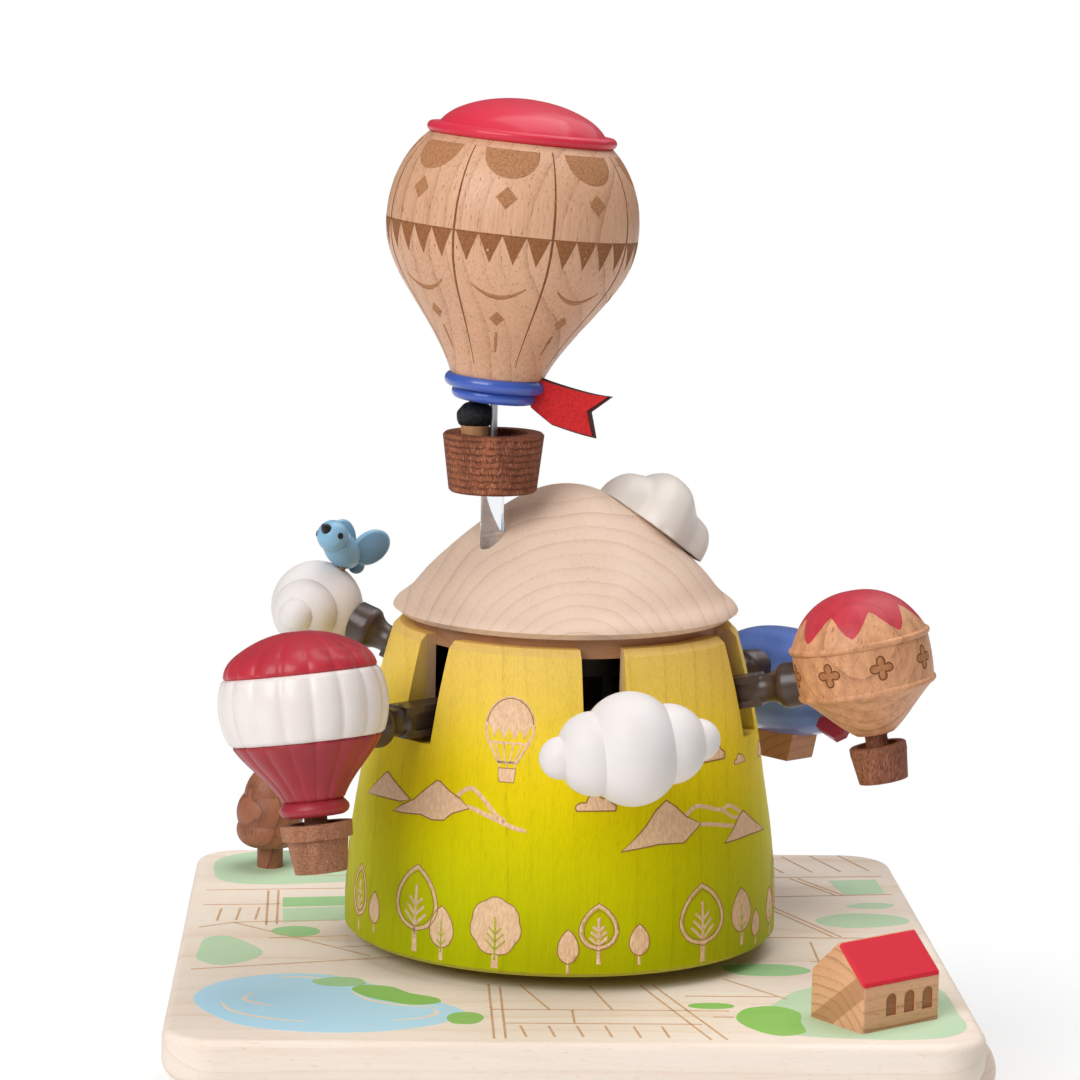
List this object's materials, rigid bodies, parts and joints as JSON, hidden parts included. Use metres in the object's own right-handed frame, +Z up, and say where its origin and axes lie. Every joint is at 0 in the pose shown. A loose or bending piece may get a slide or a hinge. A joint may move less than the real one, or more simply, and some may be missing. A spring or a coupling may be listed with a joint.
{
  "type": "music box",
  "caption": "Wooden carousel music box: a slotted drum on a square base turns hinged arms with balloons, clouds and an airship, under a dome with a larger balloon.",
  "frame": {"origin": "centre of the resting plane under the base, below the axis of the drum", "axes": "+Z up along the drum's axis, -Y towards the front with the house, +X towards the winding knob"},
  "size_m": [0.196, 0.18, 0.2534],
  "materials": {
    "balloon_wood": "clear satin lacquer, burnt engraving",
    "basket_wood": "open grain, matt",
    "beech": "clear satin lacquer",
    "beech_board": "clear satin lacquer with printed map",
    "black_hair": "rough matt",
    "black_plastic": "moulded, matt",
    "blue_paint": "gloss lacquer on wood",
    "board_cover": "plywood, plain",
    "brass": "plain",
    "brown_plastic": "moulded, satin gloss",
    "cast_metal": "zinc casting, plain",
    "clear_acrylic": "polished clear acrylic",
    "green_stain": "yellow to green stain under satin lacquer",
    "light_blue_paint": "satin lacquer",
    "maple": "clear satin lacquer",
    "red_brown_wood": "dark satin",
    "red_felt": "felt",
    "red_paint": "gloss lacquer on wood",
    "rubber": "matt",
    "skin_wood": "clear matt",
    "steel": "ground",
    "white_paint": "satin lacquer on wood"
  },
  "bodies": {
    "base": {"board": "beech_board", "base_box": "beech", "bottom_cover": "board_cover", "cover_screws": "steel", "rubber_feet": "rubber", "tree": "red_brown_wood", "house": "beech", "cam_ring": "black_plastic", "shaft_bush": "brass", "knob_bush": "brass", "bedplate": "cast_metal", "comb": "steel", "governor_frame": "brass"},
    "winder": {"winding_knob": "beech", "winding_shaft": "steel", "spring_barrel": "brass", "great_wheel": "brass", "drive_pinion": "steel"},
    "cylinder": {"pinned_cylinder": "brass", "cylinder_arbor": "steel", "cylinder_pinion": "brass", "cylinder_wheel": "brass"},
    "governor": {"governor_wheel": "brass"},
    "fan": {"fly": "steel"},
    "drum": {"drum_shaft": "steel", "drum_gear": "brass", "drum_shell": "green_stain", "top_disc": "red_brown_wood", "dome": "maple", "arm_carrier": "black_plastic", "arm_pins": "steel", "dome_cloud": "white_paint", "clear_rod": "clear_acrylic", "main_basket": "basket_wood", "passenger": "skin_wood", "passenger_hair": "black_hair", "mast_pin": "steel", "neck_ring": "blue_paint", "main_balloon": "balloon_wood", "main_cap": "red_paint", "pennant": "red_felt"},
    "front_arm": {"front_arm": "brown_plastic", "front_cloud": "white_paint"},
    "wooden_balloon_arm": {"wooden_balloon_arm": "brown_plastic", "wooden_balloon": "balloon_wood", "wooden_balloon_basket": "basket_wood"},
    "airship_arm": {"airship_arm": "brown_plastic", "airship_hull": "blue_paint", "airship_fins": "red_paint", "airship_gondola": "basket_wood"},
    "rear_arm": {"rear_arm": "brown_plastic", "rear_cloud": "white_paint"},
    "bird_arm": {"bird_arm": "brown_plastic", "bird_cloud": "white_paint", "bird": "light_blue_paint"},
    "striped_balloon_arm": {"striped_balloon_arm": "brown_plastic", "striped_balloon_cap": "red_paint", "striped_balloon_band": "white_paint", "striped_balloon_cone": "red_paint", "striped_balloon_basket": "basket_wood"}
  },
  "joints": [
    {"name": "drum_spin", "type": "hinge", "parent": "base", "child": "drum", "pos_m": [0, 0, 0.058], "axis": [0, 0, 1], "continuous": true},
    {"name": "knob_turn", "type": "hinge", "parent": "base", "child": "winder", "pos_m": [0.0816, 0, 0.0223], "axis": [1, 0, 0], "continuous": true},
    {"name": "cylinder_spin", "type": "hinge", "parent": "base", "child": "cylinder", "pos_m": [0.036, -0.022, 0.0223], "axis": [1, 0, 0], "continuous": true},
    {"name": "governor_spin", "type": "hinge", "parent": "base", "child": "governor", "pos_m": [0.0162, -0.02992, 0.01438], "axis": [1, 0, 0], "continuous": true},
    {"name": "fan_spin", "type": "hinge", "parent": "base", "child": "fan", "pos_m": [0.0162, -0.03672, 0.02], "axis": [0, 0, 1], "continuous": true},
    {"name": "front_arm_lift", "type": "hinge", "parent": "drum", "child": "front_arm", "pos_m": [0.00347, -0.02071, 0.1125], "axis": [-0.9863, -0.165, 0], "range_deg": [-2.7, 24.3]},
    {"name": "wooden_balloon_arm_lift", "type": "hinge", "parent": "drum", "child": "wooden_balloon_arm", "pos_m": [0.01967, -0.00735, 0.1125], "axis": [-0.3502, -0.9367, 0], "range_deg": [-13, 14]},
    {"name": "airship_arm_lift", "type": "hinge", "parent": "drum", "child": "airship_arm", "pos_m": [0.0162, 0.01336, 0.1125], "axis": [0.6361, -0.7716, 0], "range_deg": [-0.5, 26.5]},
    {"name": "rear_arm_lift", "type": "hinge", "parent": "drum", "child": "rear_arm", "pos_m": [-0.00347, 0.02071, 0.1125], "axis": [0.9863, 0.165, 0], "range_deg": [-9.5, 17.5]},
    {"name": "bird_arm_lift", "type": "hinge", "parent": "drum", "child": "bird_arm", "pos_m": [-0.01967, 0.00735, 0.1125], "axis": [0.3502, 0.9367, 0], "range_deg": [-25.5, 1.5]},
    {"name": "striped_balloon_arm_lift", "type": "hinge", "parent": "drum", "child": "striped_balloon_arm", "pos_m": [-0.0162, -0.01336, 0.1125], "axis": [-0.6361, 0.7716, 0], "range_deg": [-1.4, 25.6]}
  ],
  "couplings": [
    {"joint": "knob_turn", "follows": "drum_spin", "ratio": -1.5},
    {"joint": "cylinder_spin", "follows": "drum_spin", "ratio": 2.8421},
    {"joint": "governor_spin", "follows": "drum_spin", "ratio": -17.053},
    {"joint": "fan_spin", "follows": "drum_spin", "ratio": -170.53}
  ]
}
